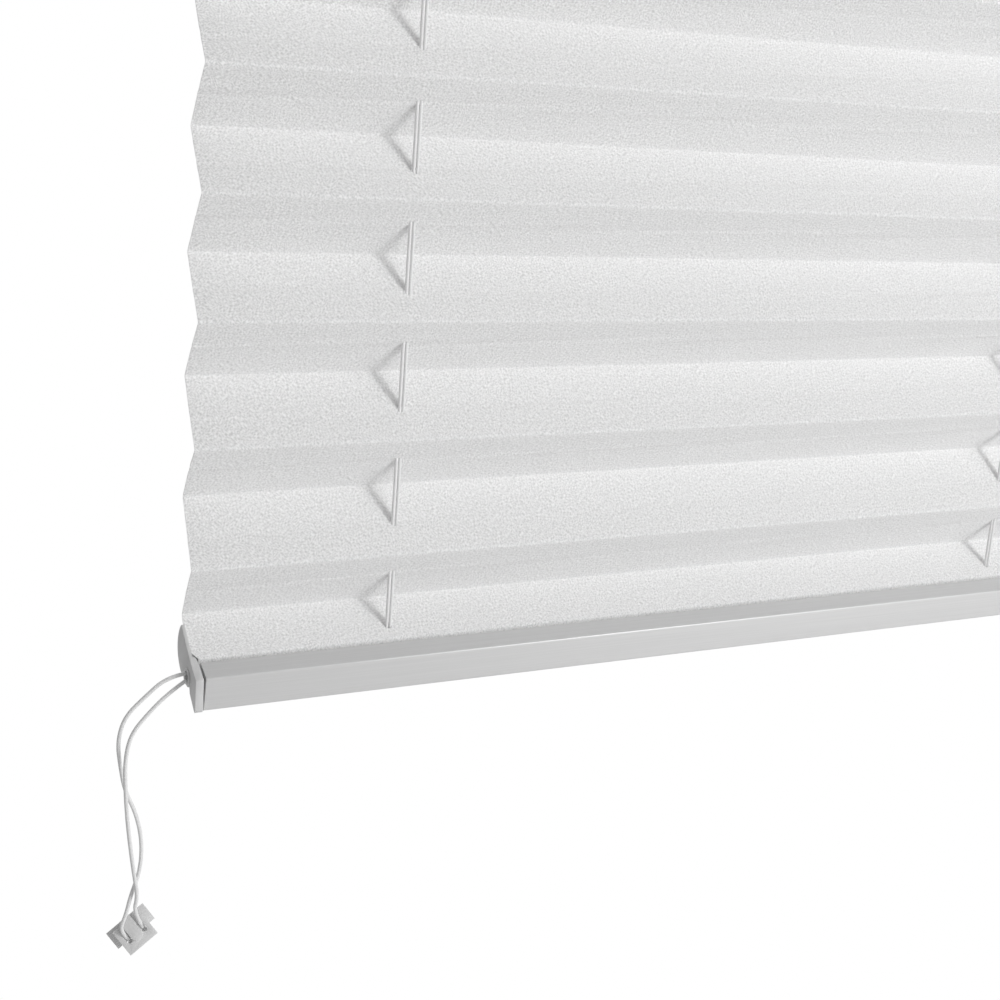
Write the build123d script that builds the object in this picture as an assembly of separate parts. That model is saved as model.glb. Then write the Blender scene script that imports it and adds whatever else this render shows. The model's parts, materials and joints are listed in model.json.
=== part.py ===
from build123d import *
import math
import os

# Pleated blind with two corded columns, in millimetres.
# X runs along the blind (left is -X), +Y points at the wall, +Z is up.
# The origin is on the wall plane, halfway between the two bracket screws.

os.makedirs("parts", exist_ok=True)

# ---- driving dimensions ----
blind_width = 317.0            # over the end caps
fabric_width = 316.0
fabric_thickness = 0.25
fold_pitch = 29.5              # one ridge to the next
fold_depth = 13.56             # ridge line to valley line, so a face is 20 mm wide
ridge_count = 17
column_inset = 54.5            # cap face to cord column
cord_diameter = 0.85
tail_diameter = 1.0            # the braid swells where nothing pulls it
strand_gap = 1.0               # between the two strands of a column
fabric_hole_width = 2.1
fabric_hole_depth = 1.1

wall_to_fold_line = 16.0       # wall plane to the middle of the folds
screws_to_headrail = 12.0      # screw line down to the headrail's top
headrail_height = 14.0
headrail_depth = 18.0
headrail_lip = 1.2
rail_wall = 1.0
cap_thickness = 2.0
fin_thickness = 0.8
cap_gap = 0.6                  # open seam between a cap and its rail
web_thickness = 0.8

bracket_width = 24.0
bracket_spacing = 200.0
bracket_sheet = 1.4
bracket_leg_top = 8.0
screw_hole_radius = 2.2

spring_radius = 1.9
spring_wire = 0.5
spring_turns = 10
spring_length = 22.0

# ---- places that follow from them ----
mid_y = -wall_to_fold_line
half_width = blind_width / 2
column_x = half_width - column_inset
headrail_base = -screws_to_headrail - headrail_height
first_valley_z = headrail_base - 6.75
first_ridge_z = first_valley_z - fold_pitch / 2
last_ridge_z = first_ridge_z - (ridge_count - 1) * fold_pitch
last_valley_z = last_ridge_z - fold_pitch / 2
rail_base = last_valley_z - 21.15
strand_y = -0.8                # from the middle of the folds
rail_half = half_width - cap_thickness - cap_gap

# heights inside the headrail, above its base
head_web_low = 3.6
head_cord_height = 7.2

# heights and depths inside the bottom rail, above its base
lip_y = -5.2
lip_height = 11.5
slot_back_y = 0.6
floor_low = 8.2
floor_high = floor_low + web_thickness
eyelet_y = -3.3
eyelet_height = 7.5
eyelet_bore = 1.4
eyelet_barrel = 1.8
eyelet_flange = 2.1
eyelet_flange_depth = 0.4
tail_offset_y = 0.35           # each tail cord from the eyelet's centre
tail_offset_z = 0.75

report = []


def save(node, shape):
    export_step(shape, "parts/" + node + ".step")


def at_rail(y, height):
    """A point of the bottom rail's section in the part's frame."""
    return (mid_y + y, rail_base + height)


def at_headrail(y, height):
    return (mid_y + y, headrail_base + height)


def section(points):
    """A closed face in the YZ plane from (y, z) corners."""
    return make_face(Polyline(*points, close=True))


def along_x(face, low, high):
    return extrude(Plane.YZ.offset(low) * face, high - low)


def block(x_low, x_high, y_low, y_high, z_low, z_high):
    size = (x_high - x_low, y_high - y_low, z_high - z_low)
    middle = ((x_low + x_high) / 2, (y_low + y_high) / 2, (z_low + z_high) / 2)
    return Pos(*middle) * Box(*size)


def other_side(shape):
    return mirror(shape, about=Plane.YZ)


def save_pair(stem, left):
    save(stem + "_left", left)
    save(stem + "_right", other_side(left))


# ---- cords ----
def corner_radii(points, limit=None):
    """The largest arcs that a route's runs allow, one for each inner point."""
    radii = []
    for before, here, after in zip(points, points[1:], points[2:]):
        run_in = Vector(*here) - Vector(*before)
        run_out = Vector(*after) - Vector(*here)
        turn = math.radians(run_in.get_angle(run_out))
        radius = 0.45 * min(run_in.length, run_out.length) / math.tan(turn / 2)
        if limit is not None:
            radius = min(radius, limit)
        radii.append(radius)
    return radii


def cord(node, points, limit=None, diameter=cord_diameter):
    """A round cord along straight runs joined by tangent arcs."""
    radii = corner_radii(points, limit)
    if radii:
        path = FilletPolyline(*points, radius=radii)
    else:
        path = Line(*points)
    face = Plane(origin=path @ 0, z_dir=path % 0) * Circle(diameter / 2)
    tube = sweep(face, path=path)
    ideal = math.pi * diameter ** 2 / 4 * path.length
    smallest = min(radii) if radii else 0
    report.append((node, path.length, tube.volume / ideal, smallest))
    return tube


# ---- fabric ----
def ribbon(points, thickness):
    """A thin closed outline of even thickness along a folded line."""
    left = []
    right = []
    for index, (y, z) in enumerate(points):
        normals = []
        for start in (index - 1, index):
            if 0 <= start < len(points) - 1:
                run_y = points[start + 1][0] - points[start][0]
                run_z = points[start + 1][1] - points[start][1]
                run = math.hypot(run_y, run_z)
                normals.append((-run_z / run, run_y / run))
        first = normals[0]
        last = normals[-1]
        scale = thickness / 2 / (1 + first[0] * last[0] + first[1] * last[1])
        shift_y = (first[0] + last[0]) * scale
        shift_z = (first[1] + last[1]) * scale
        left.append((y + shift_y, z + shift_z))
        right.append((y - shift_y, z - shift_z))
    return left + right[::-1]


def fold_line():
    """The fabric's folded line from the headrail's slot to the bottom rail's."""
    points = [at_headrail(0.9, 2.6), at_headrail(0.9, 0.4)]
    for index in range(ridge_count):
        ridge_z = first_ridge_z - index * fold_pitch
        points.append((mid_y + fold_depth / 2, ridge_z + fold_pitch / 2))
        points.append((mid_y - fold_depth / 2, ridge_z))
    points.append((mid_y + fold_depth / 2, last_valley_z))
    points.append(at_rail(-3.9, 11.75))
    points.append(at_rail(-3.9, 9.3))
    return points


def make_fabric():
    folds = fold_line()
    sheet = section(ribbon(folds, fabric_thickness))
    fabric = along_x(sheet, -fabric_width / 2, fabric_width / 2)
    length = folds[0][1] - folds[-1][1]
    for x in (-column_x, column_x):
        middle = (x, mid_y + strand_y, folds[0][1] - length / 2)
        slot = SlotOverall(fabric_hole_width, fabric_hole_depth)
        fabric -= Pos(*middle) * extrude(slot, length / 2 + 5, both=True)
    y_low = mid_y - fold_depth
    y_high = mid_y + fold_depth
    narrow = half_width - cap_thickness - 0.35
    beside_fin = half_width - fin_thickness - 0.35
    for side in (-1, 1):
        for inner, z_low, z_high in ((narrow, rail_base, rail_base + 12.7),
                                     (beside_fin, rail_base + 12, rail_base + 19.3),
                                     (narrow, headrail_base - 0.7, headrail_base + 5)):
            x_low, x_high = sorted((side * half_width, side * inner))
            fabric -= block(x_low, x_high, y_low, y_high, z_low, z_high)
    flat = sum(math.dist(a, b) for a, b in zip(folds, folds[1:]))
    print("fabric cut to", fabric_width, "by", round(flat, 1), "mm")
    save("pleated_fabric", fabric)


# ---- headrail ----
def make_headrail():
    half = headrail_depth / 2
    top = headrail_height
    outer = section([
        at_headrail(-half, 0),
        at_headrail(-half, top - rail_wall),
        at_headrail(-half - headrail_lip, top - rail_wall),
        at_headrail(-half - headrail_lip, top),
        at_headrail(half + headrail_lip, top),
        at_headrail(half + headrail_lip, top - rail_wall),
        at_headrail(half, top - rail_wall),
        at_headrail(half, 0),
    ])
    rail = along_x(outer, -rail_half, rail_half)
    inside = half - rail_wall
    y_low = mid_y - inside
    y_high = mid_y + inside
    web_high = head_web_low + web_thickness
    for low, high in ((rail_wall, head_web_low), (web_high, top - rail_wall)):
        z_low = headrail_base + low
        z_high = headrail_base + high
        rail -= block(-half_width, half_width, y_low, y_high, z_low, z_high)
    slot = 2.9
    rail -= block(-half_width, half_width, mid_y - slot, mid_y + slot,
                  headrail_base - 1, headrail_base + 2)
    base_edges = rail.edges().filter_by(Axis.X).group_by(Axis.Z)[0]
    corners = base_edges.sort_by(Axis.Y)
    rail = fillet([corners[0], corners[-1]], 1.5)
    for x in (-column_x, column_x):
        y = mid_y + strand_y
        rail -= block(x - 2.0, x + 2.0, y - 1.2, y + 1.2, headrail_base + 2, headrail_base + 6)
    save("headrail", rail)


def make_headrail_cap():
    half = headrail_depth / 2 + 0.3
    plate = section([
        at_headrail(-half, -0.3),
        at_headrail(-half, headrail_height),
        at_headrail(half, headrail_height),
        at_headrail(half, -0.3),
    ])
    cap = along_x(plate, -half_width, -half_width + cap_thickness)
    cap = fillet(cap.edges().filter_by(Axis.X).group_by(Axis.Z)[0], 2.0)
    outer_edges = cap.faces().sort_by(Axis.X)[0].edges()
    cap = fillet(outer_edges, 0.6)
    inside = headrail_depth / 2 - rail_wall - 0.15
    z_low = headrail_base + head_web_low + web_thickness + 0.15
    z_high = headrail_base + headrail_height - rail_wall - 0.15
    plug = block(-half_width + cap_thickness, -half_width + 10, mid_y - inside, mid_y + inside,
                 z_low, z_high)
    hollow = block(-half_width + cap_thickness, -half_width + 11, mid_y - inside + 1.5,
                   mid_y + inside - 1.5, z_low + 1.5, z_high - 1.5)
    save_pair("headrail_cap", cap + (plug - hollow))


def make_guide(base, low, high, spout_low, spout_high):
    """A moulded guide in a rail's slot, with one long hole for a column's two strands."""
    x = -column_x
    y = mid_y + strand_y
    body = block(x - 3.5, x + 3.5, y - 1.6, y + 1.3, base + low, base + high)
    spout = block(x - 1.9, x + 1.9, y - 1.1, y + 1.1, base + spout_low, base + spout_high)
    hole = Pos(x, y, base) * extrude(SlotOverall(2.4, 1.3), 40, both=True)
    return body + spout - hole


def make_bracket():
    """A pressed steel bracket: hooks round the headrail's lips and a leg with the screw hole."""
    x_low = -bracket_spacing / 2 - bracket_width / 2
    x_high = x_low + bracket_width
    t = bracket_sheet
    top = -screws_to_headrail
    reach = headrail_depth / 2 + headrail_lip + 0.15
    front = mid_y - reach
    back = mid_y + reach
    plate = block(x_low, x_high, front - t, 0, top + 0.1, top + 0.1 + t)
    leg = block(x_low, x_high, -t, 0, top + 0.1, bracket_leg_top)
    front_wall = block(x_low, x_high, front - t, front, top - 2.6, top + 0.1)
    front_hook = block(x_low, x_high, front - t, front + 1.1, top - 2.6, top - 1.2)
    back_wall = block(x_low, x_high, back, back + t, top - 2.6, top + 0.1)
    back_hook = block(x_low, x_high, back - 1.1, back + t, top - 2.6, top - 1.2)
    bracket = plate + leg + front_wall + front_hook + back_wall + back_hook
    x_mid = -bracket_spacing / 2
    bore = Pos(x_mid, 0, 0) * Rot(90, 0, 0) * Cylinder(screw_hole_radius, 10)
    bracket -= bore
    upright = bracket.edges().filter_by(Axis.Y).group_by(Axis.Z)[-1]
    bracket = fillet(upright, 4.0)
    save_pair("wall_bracket", bracket)


# ---- tension springs ----
def make_spring_parts():
    y = mid_y + strand_y
    z = headrail_base + head_cord_height
    spring_start = -48.0
    spring_end = spring_start + spring_length
    helix = Helix(pitch=spring_length / spring_turns, height=spring_length, radius=spring_radius)
    wire = sweep(Plane(origin=helix @ 0, z_dir=helix % 0) * Circle(spring_wire / 2), path=helix)
    spring = Pos(spring_start, y, z) * Rot(0, 90, 0) * wire
    save_pair("tension_spring", spring)
    joiner_end = spring_start - spring_wire
    joiner = block(joiner_end - 7, joiner_end, y - 1.6, y + 1.6, z - 1.4, z + 1.4)
    joiner = fillet(joiner.edges().filter_by(Axis.X), 0.8)
    save_pair("cord_joiner", joiner)
    anchor_start = spring_end + spring_wire
    half = headrail_depth / 2 - rail_wall - 0.1
    low = headrail_base + head_web_low + web_thickness + 0.1
    high = headrail_base + headrail_height - rail_wall - 0.1
    anchor = block(anchor_start, anchor_start + 5, mid_y - half, mid_y + half, low, high)
    save_pair("spring_anchor", anchor)
    return joiner_end - 7


def make_headrail_cords(joiner_face):
    """Each strand turns over the guide and runs to the joiner beside the middle."""
    start_z = headrail_base + 1.4
    level = headrail_base + head_cord_height
    y = mid_y + strand_y
    for name, x, lane in (("outer", -column_x - strand_gap / 2, -0.8),
                          ("inner", -column_x + strand_gap / 2, 0.8)):
        rise = 0.6 if name == "outer" else -0.6
        points = [(x, y, start_z), (x, y, level + rise), (x + 12, y + lane, level + rise),
                  (joiner_face - 6, y + lane, level), (joiner_face, y + lane, level)]
        strand = cord("headrail_cord_left_" + name, points, limit=1.6)
        save("headrail_cord_left_" + name, strand)
        save("headrail_cord_right_" + name, other_side(strand))


def make_column_cords():
    top = headrail_base + 1.4
    bottom = rail_base + 9.2
    y = mid_y + strand_y
    for name, x in (("outer", -column_x - strand_gap / 2), ("inner", -column_x + strand_gap / 2)):
        strand = cord("column_cord_left_" + name, [(x, y, top), (x, y, bottom)])
        save("column_cord_left_" + name, strand)
        save("column_cord_right_" + name, other_side(strand))


# ---- bottom rail ----
def make_bottom_rail():
    outline = [(-8.6, 0), (-9.9, 9.1), (lip_y, lip_height), (slot_back_y, 13.3), (4.4, 15.2),
               (5.4, 7.4), (3.4, 4.8)]
    solid = along_x(section([at_rail(y, z) for y, z in outline]), -rail_half, rail_half)
    edges = solid.edges().filter_by(Axis.X)
    ridge = edges.sort_by_distance((0, *at_rail(-9.9, 9.1)))[0]
    foot = edges.sort_by_distance((0, *at_rail(-8.6, 0)))[0]
    solid = fillet([ridge, foot], 0.6)
    hollow = [(-7.7, 1.75), (-8.75, floor_low), (1.4, floor_low), (1.4, 12.5), (3.55, 13.65),
              (4.35, 7.75), (2.8, 5.75)]
    solid -= along_x(section([at_rail(y, z) for y, z in hollow]), -half_width, half_width)
    channel = [(-8.6, floor_high), (lip_y, 10.35), (slot_back_y, 12.2), (slot_back_y, floor_high)]
    solid -= along_x(section([at_rail(y, z) for y, z in channel]), -half_width, half_width)
    slot_low_y, slot_low_z = at_rail(lip_y, 9.8)
    slot_high_y, slot_high_z = at_rail(slot_back_y, 16)
    solid -= block(-half_width, half_width, slot_low_y, slot_high_y, slot_low_z, slot_high_z)
    for x in (-column_x, column_x):
        y = mid_y + strand_y
        solid -= block(x - 2.0, x + 2.0, y - 1.2, y + 1.2, rail_base + 7, rail_base + 10)
    save("bottom_rail", solid)


def make_bottom_cap():
    """An end plate with a fin at its back, and two prongs that hold it in the rail."""
    front_foot = at_rail(-9.2, 0.3)
    front_low = at_rail(-9.7, 0.9)
    front_top = at_rail(-9.8, 8.9)
    shoulder = at_rail(-5.4, 11.7)
    fin_top = at_rail(2.6, 18.9)
    fin_back = at_rail(4.95, 12.0)
    fin_low = at_rail(1.8, 6.9)
    hip = at_rail(-4.7, 6.2)
    knee = at_rail(-5.3, 3.9)
    outline = Polyline(front_foot, front_low, front_top, shoulder, fin_top)
    outline += ThreePointArc(fin_top, fin_back, fin_low)
    outline += Polyline(fin_low, hip, knee, front_foot)
    x_out = -half_width
    plate = extrude(Plane.YZ.offset(x_out) * make_face(outline), cap_thickness)
    thinned = [(-6.2, 11.2), (-3.2, 12.2), (0.6, 13.6), (6, 16), (6, 20), (-6.2, 20)]
    plate -= along_x(section([at_rail(y, z) for y, z in thinned]), x_out + fin_thickness, x_out + 5)
    eye_y, eye_z = at_rail(eyelet_y, eyelet_height)
    turn = Rot(0, 90, 0)
    plate += Pos(x_out + cap_thickness / 2, eye_y, eye_z) * turn * Cylinder(2.6, cap_thickness)
    plate -= Pos(x_out, eye_y, eye_z) * turn * Cylinder(eyelet_barrel, 10)
    front = [(-7.3, 2.4), (-8.4, floor_low - 0.2), (-5.9, floor_low - 0.2), (-5.9, 2.9)]
    back = [(1.0, floor_low - 0.4), (1.0, 5.4), (2.6, 6.0), (4.0, 7.8), (3.3, 13.0), (1.7, 12.2),
            (1.7, floor_low - 0.4)]
    prong_low = x_out + cap_thickness
    for corners in (front, back):
        plate += along_x(section([at_rail(y, z) for y, z in corners]), prong_low, prong_low + 8)
    save_pair("bottom_cap", plate)
    barrel = Cylinder(eyelet_barrel, cap_thickness)
    flange_place = Pos(0, 0, -cap_thickness / 2 - eyelet_flange_depth / 2)
    ring = barrel + flange_place * Cylinder(eyelet_flange, eyelet_flange_depth)
    ring -= Cylinder(eyelet_bore, 10)
    rims = ring.edges().filter_by(GeomType.CIRCLE).group_by(Axis.Z)[0]
    ring = fillet(rims, 0.18)
    eyelet = Pos(x_out + cap_thickness / 2, eye_y, eye_z) * turn * ring
    save_pair("cord_eyelet", eyelet)


def make_strips():
    """The strips that the fabric's ends are bonded to, one in each rail's slot."""
    strip_half = rail_half - 8
    y_low, z_low = at_headrail(1.1, 1.15)
    y_high, z_high = at_headrail(5.0, 2.7)
    strip = block(-strip_half, strip_half, y_low, y_high, z_low, z_high)
    save("headrail_fabric_strip", strip)
    corners = [(-8.0, 9.1), (-5.3, 10.2), (-4.1, 10.2), (-4.1, 9.1)]
    strip = along_x(section([at_rail(y, z) for y, z in corners]), -strip_half, strip_half)
    save("bottom_fabric_strip", strip)


# ---- cords inside the bottom rail ----
eyelet_face = -half_width - eyelet_flange_depth
back_tail = (tail_offset_y, tail_offset_z)
front_tail = (-tail_offset_y, -tail_offset_z)


def tail_start(offset, inside=0.0):
    y, z = at_rail(eyelet_y + offset[0], eyelet_height + offset[1])
    return (eyelet_face + inside, y, z)


def make_rail_cords():
    """Each column sends one strand to the near cap and one across to the far cap."""
    top = rail_base + 9.2
    y = mid_y + strand_y
    near_x = -column_x - strand_gap / 2
    turn_z = rail_base + 7.0
    lane_high = at_rail(-2.6, 7.0)
    lane_low = at_rail(-3.9, 6.55)
    near = [(near_x, y, top), (near_x, y, turn_z), (near_x - 10, lane_high[0] + 0.8, turn_z),
            (-half_width + 4.4, *lane_high), tail_start(back_tail, 0.4)]
    strand = cord("rail_cord_left_outer", near, limit=1.1)
    save("rail_cord_left_outer", strand)
    save("rail_cord_right_outer", other_side(strand))
    far_x = column_x - strand_gap / 2
    low_cross = at_rail(-2.0, 5.9)
    across = [(far_x, y, top), (far_x, y, turn_z), (far_x - 10, y - 1.2, turn_z),
              (30, mid_y - 2.0, turn_z), (0, *low_cross), (-30, *lane_low),
              (-half_width + 4.4, *lane_low), tail_start(front_tail, 0.4)]
    save("rail_cord_right_inner", cord("rail_cord_right_inner", across, limit=1.1))
    high_cross = at_rail(-4.0, 7.4)
    back_across = [(far_x, y, top), (far_x, y, turn_z), (far_x - 10, y - 1.2, turn_z),
                   (30, mid_y - 2.0, turn_z), (0, *high_cross), (-30, *lane_low),
                   (-half_width + 4.4, *lane_low), tail_start(front_tail, 0.4)]
    strand = cord("rail_cord_left_inner", back_across, limit=1.1)
    save("rail_cord_left_inner", other_side(strand))


# ---- tail cords, clips and knots ----
# Each route is given from the middle of the eyelet's outer face, as (x, y, z).
back_route = [
    (-4.6, 0.6, 0.2), (-9.8, 1.0, -4.4), (-14.7, 1.3, -9.2), (-16.3, 1.5, -15.6),
    (-15.4, 1.6, -22.3), (-14.2, 1.6, -28.8), (-11.3, 1.5, -35.2), (-9.7, 1.3, -42.9),
    (-10.0, 1.3, -50.8), (-12.3, 1.3, -57.3), (-13.7, 0.4, -62.0),
]
front_route = [
    (-4.2, -0.4, -3.4), (-9.3, -0.5, -8.1), (-13.7, -0.6, -13.2), (-15.0, -0.7, -20.0),
    (-14.7, -0.7, -27.8), (-14.1, -0.6, -35.6), (-13.1, -0.4, -43.6), (-12.0, -0.2, -51.0),
    (-11.0, -0.3, -57.0),
]

clip_origin = Vector(eyelet_face - 11.65, mid_y + eyelet_y + 0.1,
                     rail_base + eyelet_height - 66.7)
clip_long = Vector(0.820, 0.040, 0.571)
clip_face = Vector(-0.251, -0.872, 0.421)
clip_plane = Plane(origin=clip_origin, x_dir=clip_long, z_dir=clip_face)

clip_plate = 0.9
clip_channel = 1.7
clip_slot_x = 2.25
clip_slot_width = 1.4


def make_clip():
    """A sliding clip: a slotted front plate and a longer back plate, joined by a web."""
    front = Pos(-0.1, -0.55, -clip_plate / 2) * Box(8.4, 7.3, clip_plate)
    slab_half = clip_slot_x - clip_slot_width / 2
    slab_face = Pos(0, 0.8) * Rectangle(2 * slab_half, 6.4)
    low_corners = slab_face.vertices().group_by(Axis.Y)[0]
    slab_face = fillet(low_corners, slab_half * 0.9)
    slab = extrude(Pos(0, 0, -clip_plate) * slab_face, clip_plate + 0.8)
    back_z = -clip_plate - clip_channel - clip_plate / 2
    back = Pos(0, 1.35, back_z) * Box(11.4, 4.9, clip_plate)
    web_z = -clip_plate - clip_channel / 2
    web = Pos(0, 1.2, web_z) * Box(2.6, 4.0, clip_channel + 0.2)
    clip = front + slab + back + web
    for x in (-clip_slot_x, clip_slot_x):
        through = Pos(x, 4.0, 0) * Box(clip_slot_width, 10.4, 2.5 * clip_plate)
        end = Pos(x, -1.2, 0) * Cylinder(clip_slot_width / 2, 2.5 * clip_plate)
        clip -= through
        clip -= end
    return clip


def make_tails():
    start = Vector(eyelet_face, mid_y + eyelet_y, rail_base + eyelet_height)
    knots = []
    back_clip = [(-2.8, 2.4, 1.6), (-2.2, -0.9, -1.15)]
    front_clip = [(2.8, 3.8, 1.9), (2.2, -0.8, -1.15)]
    ends = (("back", back_tail, back_route, back_clip),
            ("front", front_tail, front_route, front_clip))
    for name, offset, route, in_clip in ends:
        points = [tail_start(offset)]
        points += [tuple(start + Vector(*point)) for point in route]
        points += [tuple(clip_plane.from_local_coords(Vector(*point))) for point in in_clip]
        slot_x, end_y, end_z = in_clip[-1]
        node = "tail_cord_left_" + name
        tube = cord(node, points, diameter=tail_diameter)
        save(node, tube)
        save("tail_cord_right_" + name, other_side(tube))
        knot_middle = Vector(slot_x, end_y - 0.85, -clip_plate - clip_channel / 2)
        knot = Pos(*clip_plane.from_local_coords(knot_middle)) * Sphere(0.75)
        knots.append(knot - tube)
    save_pair("cord_clip", clip_plane * make_clip())
    save_pair("cord_knots", Compound(children=[solid for knot in knots for solid in knot.solids()]))


make_headrail()
make_headrail_cap()
save_pair("headrail_cord_guide", make_guide(headrail_base, 0.1, 3.5, 3.4, 5.0))
make_bracket()
joiner_face = make_spring_parts()
make_headrail_cords(joiner_face)
make_column_cords()
make_fabric()
make_bottom_rail()
make_bottom_cap()
make_strips()
save_pair("bottom_cord_guide", make_guide(rail_base, 9.1, 11.0, floor_low, 9.2))
make_rail_cords()
make_tails()

for node, length, ratio, smallest in report:
    print(node, "length", round(length, 1), "volume ratio", round(ratio, 4),
          "smallest bend radius", round(smallest, 2))
print("rail base z", round(rail_base, 2), "last ridge z", round(last_ridge_z, 2))
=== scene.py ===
# %% [markdown]
# # A pleated blind
# A pleated blind is one sheet of crepe, folded like a fan and held between two aluminium rails.
# Tight cords run down through holes in the folds, and the lower rail slides on them.
# Where the cords come out of the lower rail they hang as two short tails, joined in a small clip.
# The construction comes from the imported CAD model. This script gives each surface its look.

# %% Load the frame
import json
import math
from collections import namedtuple

import bmesh
import bpy
from mathutils import Matrix, Vector


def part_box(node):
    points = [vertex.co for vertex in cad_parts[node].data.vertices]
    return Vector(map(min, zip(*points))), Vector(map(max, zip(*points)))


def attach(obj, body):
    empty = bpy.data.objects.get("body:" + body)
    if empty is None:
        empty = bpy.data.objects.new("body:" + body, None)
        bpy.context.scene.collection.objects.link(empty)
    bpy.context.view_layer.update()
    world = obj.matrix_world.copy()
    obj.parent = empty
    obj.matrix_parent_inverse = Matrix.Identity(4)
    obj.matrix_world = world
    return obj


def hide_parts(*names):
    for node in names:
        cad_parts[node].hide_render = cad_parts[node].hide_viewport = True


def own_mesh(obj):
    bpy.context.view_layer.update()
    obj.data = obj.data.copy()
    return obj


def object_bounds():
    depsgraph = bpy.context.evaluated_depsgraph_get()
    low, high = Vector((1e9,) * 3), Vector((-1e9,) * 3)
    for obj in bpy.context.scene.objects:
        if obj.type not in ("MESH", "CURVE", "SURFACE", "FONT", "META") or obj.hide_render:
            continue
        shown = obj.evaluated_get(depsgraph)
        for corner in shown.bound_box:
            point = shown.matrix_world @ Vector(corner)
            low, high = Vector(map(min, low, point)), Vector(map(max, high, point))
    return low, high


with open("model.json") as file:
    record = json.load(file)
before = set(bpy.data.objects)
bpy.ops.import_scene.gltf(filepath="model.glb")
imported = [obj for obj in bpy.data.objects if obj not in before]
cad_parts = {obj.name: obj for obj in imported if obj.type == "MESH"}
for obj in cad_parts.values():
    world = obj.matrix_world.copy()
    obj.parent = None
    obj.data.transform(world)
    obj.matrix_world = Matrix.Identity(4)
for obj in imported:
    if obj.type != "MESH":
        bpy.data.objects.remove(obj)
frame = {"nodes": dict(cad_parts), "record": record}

cad_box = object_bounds()
MM = 0.001
nodes = frame["nodes"]

# %% [markdown]
# ## Places that everything else is measured from
# A node's box says where it lies, so no place has to be typed twice. The left cord eyelet is where
# the tails leave the object, and the headrail's base is where the fabric and the cords hang from.

# %% Places
def middle(node):
    """The centre of a CAD node's box."""
    low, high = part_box(node)
    return (low + high) / 2


eyelet = middle("cord_eyelet_left")
tail_exit = Vector((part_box("cord_eyelet_left")[0].x, eyelet.y, eyelet.z))
fabric_low, fabric_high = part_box("pleated_fabric")
headrail_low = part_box("headrail")[0]
rail_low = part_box("bottom_rail")[0]
print("tails leave at", [round(value / MM, 1) for value in tail_exit], "mm")

# %% [markdown]
# ## The camera
# The camera stands in front of the blind, to the left and a little above its lower edge, and looks
# at the lower left corner. It is turned slightly about its own axis, so the rail rises to the right.
# A rotation is easiest to read as three turns: about Z for the direction, about X for the
# elevation, and about the camera's own axis for the roll.

# %% Camera
camera_azimuth = 29.07
camera_elevation = -14.73
camera_roll = 4.32
camera_from_exit = Vector((-124.3, -374.3, 152.4)) * MM

camera_data = bpy.data.cameras.new("camera")
camera = bpy.data.objects.new("camera", camera_data)
bpy.context.scene.collection.objects.link(camera)
bpy.context.scene.camera = camera
camera_data.lens = 60.98
camera_data.sensor_width = 36
camera_data.clip_start = 0.01
camera_data.clip_end = 50
turn = Matrix.Rotation(math.radians(-camera_azimuth), 4, "Z")
tip = Matrix.Rotation(math.radians(90 + camera_elevation), 4, "X")
roll = Matrix.Rotation(math.radians(camera_roll), 4, "Z")
camera.matrix_world = Matrix.Translation(tail_exit + camera_from_exit) @ turn @ tip @ roll
print("camera at", [round(value, 3) for value in camera.matrix_world.translation])

# %% [markdown]
# ## Small helpers
# Colours are picked as sRGB hex values, but shaders work in linear light, so one function converts
# them. Another adds a shader node with its settings, and links a socket wherever it is given one.

# %% Helpers for colours and nodes
def colour(hex_value):
    """A linear RGBA colour from an sRGB hex value such as 0xE8E8E6."""
    channels = [(hex_value >> shift & 255) / 255 for shift in (16, 8, 0)]
    linear = [c / 12.92 if c <= 0.04045 else ((c + 0.055) / 1.055) ** 2.4 for c in channels]
    return (*linear, 1.0)


def add(tree, kind, inputs=None, **settings):
    """Adds a shader node. An input is a value, or the output socket that feeds it."""
    made = tree.nodes.new(kind)
    for name, value in settings.items():
        setattr(made, name, value)
    for socket, value in (inputs or {}).items():
        if isinstance(value, bpy.types.NodeSocket):
            tree.links.new(value, made.inputs[socket])
        else:
            made.inputs[socket].default_value = value
    return made


def new_material(name, base, roughness, **sockets):
    """A material with one Principled shader. Returns the material, its tree and its shader."""
    material = bpy.data.materials.new(name)
    material.use_nodes = True
    tree = material.node_tree
    shader = tree.nodes["Principled BSDF"]
    shader.inputs["Base Color"].default_value = colour(base)
    shader.inputs["Roughness"].default_value = roughness
    for socket, value in sockets.items():
        shader.inputs[socket.replace("_", " ")].default_value = value
    return material, tree, shader


def tint(tree, shader, factor, dark, light, low=0.35, high=0.65):
    """Drives the shader's colour from a grey factor, between two hex colours."""
    ramp = add(tree, "ShaderNodeValToRGB", {"Fac": factor})
    ramp.color_ramp.elements[0].position = low
    ramp.color_ramp.elements[0].color = colour(dark)
    ramp.color_ramp.elements[1].position = high
    ramp.color_ramp.elements[1].color = colour(light)
    tree.links.new(ramp.outputs["Color"], shader.inputs["Base Color"])


def bump(tree, shader, height, depth_mm):
    """Feeds a height field into the shader's normal, with its depth in millimetres."""
    made = add(tree, "ShaderNodeBump", {"Height": height, "Distance": depth_mm * MM})
    tree.links.new(made.outputs["Normal"], shader.inputs["Normal"])


def per_mm(size_mm):
    """The Scale of a texture whose features are to be size_mm across, in coordinates in metres."""
    return 1 / (size_mm * MM)


print("a middle grey, 0x808080, is", round(colour(0x808080)[0], 3), "in linear light")

# %% [markdown]
# ## The crepe
# Blind crepe is a polyester weave whose tightly twisted threads shrink into tiny slanting ripples.
# They lean one way in one patch and the other way in the next, which gives a dull, grainy white. Two
# stretched noises, one along each diagonal of the cloth, are mixed by a third and larger one. The
# pattern reads the sheet's UV map, which is laid out in metres along the cut cloth, so it follows the
# cloth over every fold.

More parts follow.
